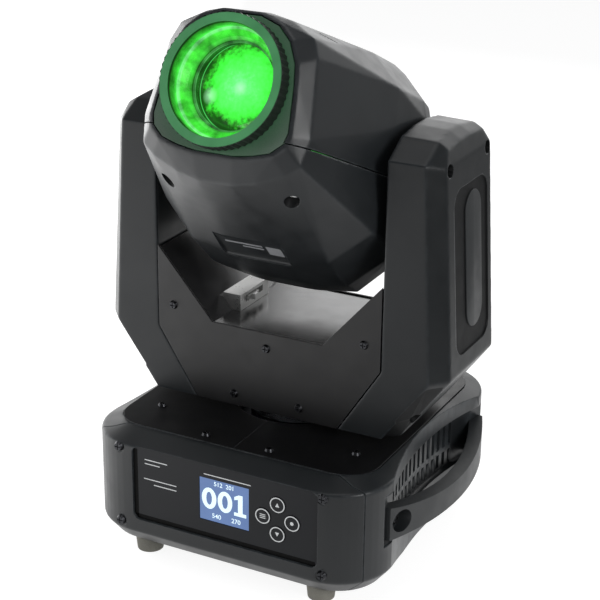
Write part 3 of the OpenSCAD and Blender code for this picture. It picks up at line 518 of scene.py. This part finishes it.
def soften(obj, passes):
    """Rounds every edge, and moves the surface in a little so that it clears the CAD faces."""
    remesh = obj.modifiers.new("remesh", "REMESH")
    remesh.mode = "VOXEL"
    remesh.voxel_size = 1.15 * MM
    smooth = obj.modifiers.new("smooth", "SMOOTH")
    smooth.factor = 0.5
    smooth.iterations = passes
    bake(obj)
    inset = 0.08 * MM
    count = len(obj.data.vertices)
    places, normals = np.zeros(count * 3), np.zeros(count * 3)
    obj.data.vertices.foreach_get("co", places)
    obj.data.vertices.foreach_get("normal", normals)
    obj.data.vertices.foreach_set("co", places - normals * inset)
    obj.data.update()
    return obj


def smooth_by_angle(obj, degrees):
    obj.data.shade_smooth()
    obj.data.set_sharp_from_angle(angle=math.radians(degrees))


def moulded(body, node, name, outside, inside):
    """The softened body cut to a CAD cover's walls and openings. It rides on that node's body, and the node is
    hidden.
    """
    piece = paint(link(name, body.data.copy()), outside)
    combine(piece, paint(welded(node), inside), "INTERSECT")
    smooth_by_angle(piece, 32)
    weighted = piece.modifiers.new("weighted", "WEIGHTED_NORMAL")
    weighted.keep_sharp = True
    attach(piece, BODY_OF[node])
    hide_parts(node)


# ---- Covers ----

def slab(low, high, place):
    """A closed box, in millimetres, in a given frame. It is only used for cutting."""
    corners = [(x, y, z) for x in (low[0], high[0]) for y in (low[1], high[1])
               for z in (low[2], high[2])]
    return hull("cutter", [place @ (Vector(c) * MM) for c in corners])


def round_out(body, passes):
    """Turns the facets under the head into one curved surface, and leaves the creases beside."""
    inverse = HEAD_FRAME.inverted()
    fade = 8
    group = body.vertex_groups.new(name="hood")
    for vertex in body.data.vertices:
        p = inverse @ vertex.co / MM
        room = min(50 - abs(p.x), -21 - p.z, p.y + 106)
        if room > 0:
            group.add([vertex.index], min(1.0, room / fade), "REPLACE")
    smooth = body.modifiers.new("round", "SMOOTH")
    smooth.iterations = passes
    smooth.vertex_group = "hood"
    bake(body)


def recess_cutter():
    """The flat-bottomed recess under the head, as a wedge that opens outwards."""
    section = ((-54.6, -56.2), (-30, -66), (-58, -64), (-33, -76))
    corners = [(x, y, z) for x in (-26.5, 23.5) for y, z in section]
    return hull("cutter", [HEAD_FRAME @ (Vector(c) * MM) for c in corners])


def slit_cutter():
    """The short slit beside the front edge of the head's top."""
    along = Vector((6.5, 9.5, -2.1)).normalized()
    out = Vector((0.5, -0.15, 0.85)).normalized()
    turn = Matrix((along, out.cross(along), out)).transposed().to_4x4()
    middle = Matrix.Translation(Vector((44, -88.5, 72.6)) * MM)
    return slab((-7, -0.6, -1.5), (7, 0.6, 4), HEAD_FRAME @ middle @ turn)


def make_head_covers(materials):
    """The head's covers, with the parting line, the plate recess and the slit on top cut in."""
    seam = 0.35
    body = soften(hull("head_body", node_points("head_top_cover", "head_bottom_cover")), 4)
    round_out(body, 110)
    combine(body, slab((-100, -200, -seam), (100, 200, seam), HEAD_FRAME), "DIFFERENCE")
    combine(body, recess_cutter(), "DIFFERENCE")
    combine(body, slit_cutter(), "DIFFERENCE")
    for node, name in (("head_top_cover", "head_top_shell"),
                       ("head_bottom_cover", "head_bottom_shell")):
        moulded(body, node, name, materials["cover_plastic_shell"],
                materials["inner_painted_shade"])
    bpy.data.objects.remove(body)


def make_arm_covers(materials):
    """Each arm's outer cover: the block of the arm joined to its foot under the knee."""
    block_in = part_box("arm_inner_cover_right")[0].x - 0.3 * MM
    knee = 149.5 * MM
    foot_out = 97.7 * MM
    for side, name in ((1, "right"), (-1, "left")):
        node = "arm_cover_" + name
        points = node_points(node)
        block = hull("arm_body", [p for p in points if side * p.x > block_in])
        foot = hull("foot", [p for p in points if p.z < knee and side * p.x < foot_out])
        body = soften(combine(block, foot, "UNION"), 5)
        moulded(body, node, "arm_shell_" + name, materials["arm_plastic_painted_shade"],
                materials["inner_painted_shade"])
        bpy.data.objects.remove(body)


def make_base_covers(materials):
    """The base's housing and bezel, with a fine groove where they meet."""
    body = soften(hull("base_body", node_points("base_housing", "base_front_bezel")), 5)
    half_groove = 0.3
    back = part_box("base_front_bezel")[1].y / MM
    line = [(-140, back - 4), (-92, back - 4), (-80, back), (80, back), (92, back - 4),
            (140, back - 4)]
    for start, end in zip(line, line[1:]):
        corners = [(x, y + d, z) for x, y in (start, end) for d in (-half_groove, half_groove)
                   for z in (10, 120)]
        combine(body, hull("cutter", [Vector(c) * MM for c in corners]), "DIFFERENCE")
    for node, name, slot in (("base_housing", "base_shell", "cover_plastic"),
                             ("base_front_bezel", "base_bezel_shell", "bezel_plastic")):
        moulded(body, node, name, materials[slot + "_shell"],
                materials["cover_plastic_shell"])
    bpy.data.objects.remove(body)


# ---- Prints and small trim ----

def flat_shape(name, outline, inner=None, thickness=0.1 * MM):
    """A thin plate in the XZ plane from an outline, or a ring where there is an inner one."""
    bm = bmesh.new()
    outer = [bm.verts.new((x, 0, z)) for x, z in outline]
    if inner is None:
        bm.faces.new(outer)
    else:
        inside = [bm.verts.new((x, 0, z)) for x, z in inner]
        for i in range(len(outer)):
            j = (i + 1) % len(outer)
            bm.faces.new((outer[i], outer[j], inside[j], inside[i]))
    made = bmesh.ops.extrude_face_region(bm, geom=bm.faces[:])
    moved = [g for g in made["geom"] if isinstance(g, bmesh.types.BMVert)]
    bmesh.ops.translate(bm, verts=moved, vec=(0, thickness, 0))
    bmesh.ops.recalc_face_normals(bm, faces=bm.faces)
    return to_object(name, bm)


def ellipse(half_w, half_h, x, z, count=40):
    return [(x + half_w * math.cos(a), z + half_h * math.sin(a))
            for a in (2 * math.pi * i / count for i in range(count))]


def circle(radius, x, z):
    return ellipse(radius, radius, x, z, 48)


def pill(half_w, half_h, x=0.0, z=0.0, corner=None, count=8):
    """A rounded rectangle; with no corner radius given its short ends are round."""
    r = min(half_w, half_h) if corner is None else corner
    points = []
    for quarter, (sx, sz) in enumerate(((1, 1), (-1, 1), (-1, -1), (1, -1))):
        for i in range(count + 1):
            a = math.pi / 2 * (quarter + i / count)
            points.append((x + sx * (half_w - r) + r * math.cos(a),
                           z + sz * (half_h - r) + r * math.sin(a)))
    return points


def join(name, objs):
    bm = bmesh.new()
    for obj in objs:
        bm.from_mesh(obj.data)
        bpy.data.objects.remove(obj)
    return to_object(name, bm)


def digits(text, height, x, z):
    """Numbers as a flat mesh that faces -Y, centred on x and z."""
    cap_height = 0.72
    curve = bpy.data.curves.new("digits", "FONT")
    curve.body = text
    curve.size = height / cap_height
    curve.align_x = "CENTER"
    curve.align_y = "CENTER"
    curve.offset = 0.012 * height
    curve.extrude = 0.04 * MM
    temporary = link("digits", curve)
    depsgraph = bpy.context.evaluated_depsgraph_get()
    mesh = bpy.data.meshes.new_from_object(temporary.evaluated_get(depsgraph))
    bpy.data.objects.remove(temporary)
    mesh.transform(Matrix.Translation((x, 0, z)) @ Matrix.Rotation(math.pi / 2, 4, "X"))
    return link("digits", mesh)


def big_zero(x, z):
    return flat_shape("zero", ellipse(5.6 * MM, 7.9 * MM, x, z),
                      ellipse(2.2 * MM, 4.9 * MM, x, z))


def big_one(x, z):
    outline = [(-4.6, -7.9), (4.6, -7.9), (4.6, -5.4), (1.9, -5.4), (1.9, 7.9), (-1.1, 7.9),
               (-4.4, 6.0), (-4.4, 3.6), (-1.6, 4.6), (-1.6, -5.4), (-4.6, -5.4)]
    return flat_shape("one", [(x + a * MM, z + b * MM) for a, b in outline])


def place_print(obj, y, body, material):
    obj.data.transform(Matrix.Translation((0, y, 0)))
    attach(obj, body)
    return paint(obj, material)


def make_display_digits(materials):
    """The large 001 and the small numbers above and below it."""
    low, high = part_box("display_screen")
    mid_x, mid_z = (low.x + high.x) / 2, 61.7 * MM
    row = mid_z + 1.0 * MM
    shown = [big_zero(mid_x - 11.6 * MM, row), big_zero(mid_x + 0.6 * MM, row),
             big_one(mid_x + 12.2 * MM, row),
             digits("512  201", 3.2 * MM, mid_x, mid_z + 12.6 * MM),
             digits("540      270", 3.4 * MM, mid_x + 1.5 * MM, mid_z - 11.6 * MM)]
    place_print(join("display_digits", shown), low.y - 0.06 * MM, "base",
                materials["display_ink"])


def make_panel_lines(materials):
    """Plain lines on the panel, where the photo has words."""
    low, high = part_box("control_panel")
    lines = [flat_shape("line", pill(half * MM, 0.35 * MM, low.x + x * MM, high.z - drop * MM))
             for half, x, drop in ((9, 18, 8.5), (6, 15, 11.5), (13, 21, 23), (9, 25, 26.5),
                                   (18, 73.5, 7.6))]
    place_print(join("panel_lines", lines), low.y - 0.05 * MM, "base", materials["panel_ink"])


def make_panel_recess_shadow(materials):
    """A painted shadow: dark strips along the panel's left side and its bottom, where its recess falls in shade.
    """
    low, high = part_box("control_panel")
    corner = 0.4 * MM
    margin = 2 * MM
    upright = pill(1.5 * MM, (high.z - low.z) / 2 - margin, low.x + 1.8 * MM,
                   (high.z + low.z) / 2, corner)
    level = pill((high.x - low.x) / 2 - margin, 1.6 * MM, (low.x + high.x) / 2,
                 low.z + 1.9 * MM, corner)
    border = join("panel_recess_shadow_strips", [flat_shape("edge", outline) for outline in (upright, level)])
    place_print(border, low.y - 0.04 * MM, "base", materials["panel_recess_shadow"])


def button_symbol(name, x, z):
    if name == "menu":
        return [flat_shape("bar", pill(2.2 * MM, 0.3 * MM, x, z + i * 1.3 * MM))
                for i in (-1, 0, 1)]
    if name == "enter":
        return [flat_shape("dot", circle(1.3 * MM, x, z))]
    half = 1.5 * MM
    tip = half if name == "up" else -half
    return [flat_shape("arrow", [(x - half, z - tip), (x + half, z - tip), (x, z + tip)])]


def make_button_prints(materials):
    """A ring and a symbol on each button, which ride on it."""
    for name in ("up", "down", "menu", "enter"):
        node = "button_" + name
        low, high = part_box(node)
        x, z = (low.x + high.x) / 2, (low.z + high.z) / 2
        ring = flat_shape("ring", circle(5.5 * MM, x, z), circle(4.75 * MM, x, z))
        marks = join("button_print_" + name, [ring] + button_symbol(name, x, z))
        place_print(marks, low.y - 0.05 * MM, node, materials["panel_ink"])


def make_plate_strips(materials):
    """Plain strips on the recess of the hood, where the photo has lettering."""
    shapes = [pill(14 * MM, 0.9 * MM, -7 * MM, 3.6 * MM), pill(8 * MM, 0.8 * MM, -1 * MM),
              pill(5.6 * MM, 5.2 * MM, 15 * MM, -0.5 * MM, 0.8 * MM)]
    strips = join("hood_strips", [flat_shape("strip", outline) for outline in shapes])
    up = Vector((0, -24.6, 9.8)).normalized()
    turn = Matrix((ACROSS, up.cross(ACROSS), up)).transposed().to_4x4()
    sunk = turn.col[1].to_3d() * -0.1 * MM
    middle = Matrix.Translation(Vector((0, -42.3, -61.1)) * MM + sunk)
    strips.data.transform(HEAD_FRAME @ middle @ turn)
    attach(strips, "head")
    paint(strips, materials["hood_ink"])


def make_arm_pads(materials):
    """A plain raised pad in the recess of each arm's side, where the photo has a mark."""
    lean = math.atan2(9.2, 143.6)
    recess_x, recess_z = 126.4 * MM, 216.2 * MM
    for side, name in ((1, "arm_pad_right"), (-1, "arm_pad_left")):
        place = Matrix.Translation((side * recess_x, 0, recess_z))
        turn = Matrix.Rotation(-side * lean, 4, "Y") @ Matrix.Rotation(side * math.pi / 2, 4, "Z")
        shift = Matrix.Translation(Vector((side * 6, 0.1, 3.5)) * MM)
        pad = flat_shape(name, pill(13.2 * MM, 47 * MM, count=16), thickness=1.1 * MM)
        pad.data.transform(place @ turn @ shift)
        bevel = pad.modifiers.new("edge", "BEVEL")
        bevel.width = 0.5 * MM
        bevel.segments = 3
        smooth_by_angle(bake(pad), 50)
        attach(pad, "yoke")
        paint(pad, materials["handle_plastic"])


# ---- The carried-over CAD nodes ----

BEVEL_MM = {
    "side_handle_left": 1.6, "side_handle_right": 1.6, "rubber_feet": 0.8,
    "tilt_lock_block": 0.6, "tilt_lock_slider": 0.6, "yoke_front_plate": 0.5,
    "yoke_rear_plate": 0.5, "base_top_plate_left": 0.4, "base_top_plate_right": 0.4,
    "power_inlet": 0.4, "data_in_socket": 0.4, "data_out_socket": 0.4, "lens_barrel": 0.3,
    "focus_ring": 0.2}

# Finishes that differ from the slot's usual one
FINISHES = {"base_screws": "black_screw", "yoke_screws": "black_screw",
            "head_screws": "bright_screw", "yoke_tray": "glossy_sheet"}


def finish_cad_nodes(materials):
    """Gives every CAD node its material, and a small round edge where one shows."""
    slots = {p["node"]: p["material_slot"] for p in frame["record"]["subparts"]}
    for node, obj in NODES.items():
        paint(obj, materials[FINISHES.get(node, slots[node])])
        if node in BEVEL_MM:
            bevel = obj.modifiers.new("edge", "BEVEL")
            bevel.width = BEVEL_MM[node] * MM
            bevel.segments = 3
            bevel.limit_method = "ANGLE"
            bevel.angle_limit = math.radians(40)


# ---- Floor ----

def make_floor():
    """A white sheet that glows, and is flagged darker out to the right and in front."""
    bm = bmesh.new()
    bmesh.ops.create_grid(bm, x_segments=1, y_segments=1, size=8.0)
    floor = to_object("floor", bm)
    s = Shader("floor", Roughness=0.7)
    turned = s.node("ShaderNodeMapping", {"Vector": s.coords,
                                          "Rotation": (0, 0, -CAMERA_AZIMUTH)}).outputs[0]
    split = s.node("ShaderNodeSeparateXYZ", {0: turned})
    across, deep = split.outputs[0], split.outputs[1]
    right = s.math("SUBTRACT", across, s.math("MULTIPLY", deep, 0.2))
    flagged = s.remap(right, 0.24, 0.6, 0.0, 1.0)
    glow = s.remap(flagged, 0.0, 1.0, 0.9, 0.18)
    for flag in (s.remap(deep, -0.5, -0.14, 0.5, 1.0), s.remap(across, -0.6, -0.1, 2.9, 1.0)):
        glow = s.math("MULTIPLY", glow, flag)
    grey = s.blend(s.noise(3, 2), (0.26, 0.26, 0.26), (0.28, 0.28, 0.28))
    s.set("Base Color", s.blend(flagged, grey, (0.06, 0.06, 0.06)))
    s.set("Emission Strength", glow)
    s.out.inputs["Emission Color"].default_value = (1, 1, 1, 1)
    paint(floor, s.material)
    floor.visible_diffuse = False


def main():
    make_camera()
    make_studio()
    make_floor()
    materials = make_materials()
    finish_cad_nodes(materials)
    make_head_covers(materials)
    make_arm_covers(materials)
    make_base_covers(materials)
    make_display_digits(materials)
    make_panel_lines(materials)
    make_panel_recess_shadow(materials)
    make_button_prints(materials)
    make_plate_strips(materials)
    make_arm_pads(materials)


main()
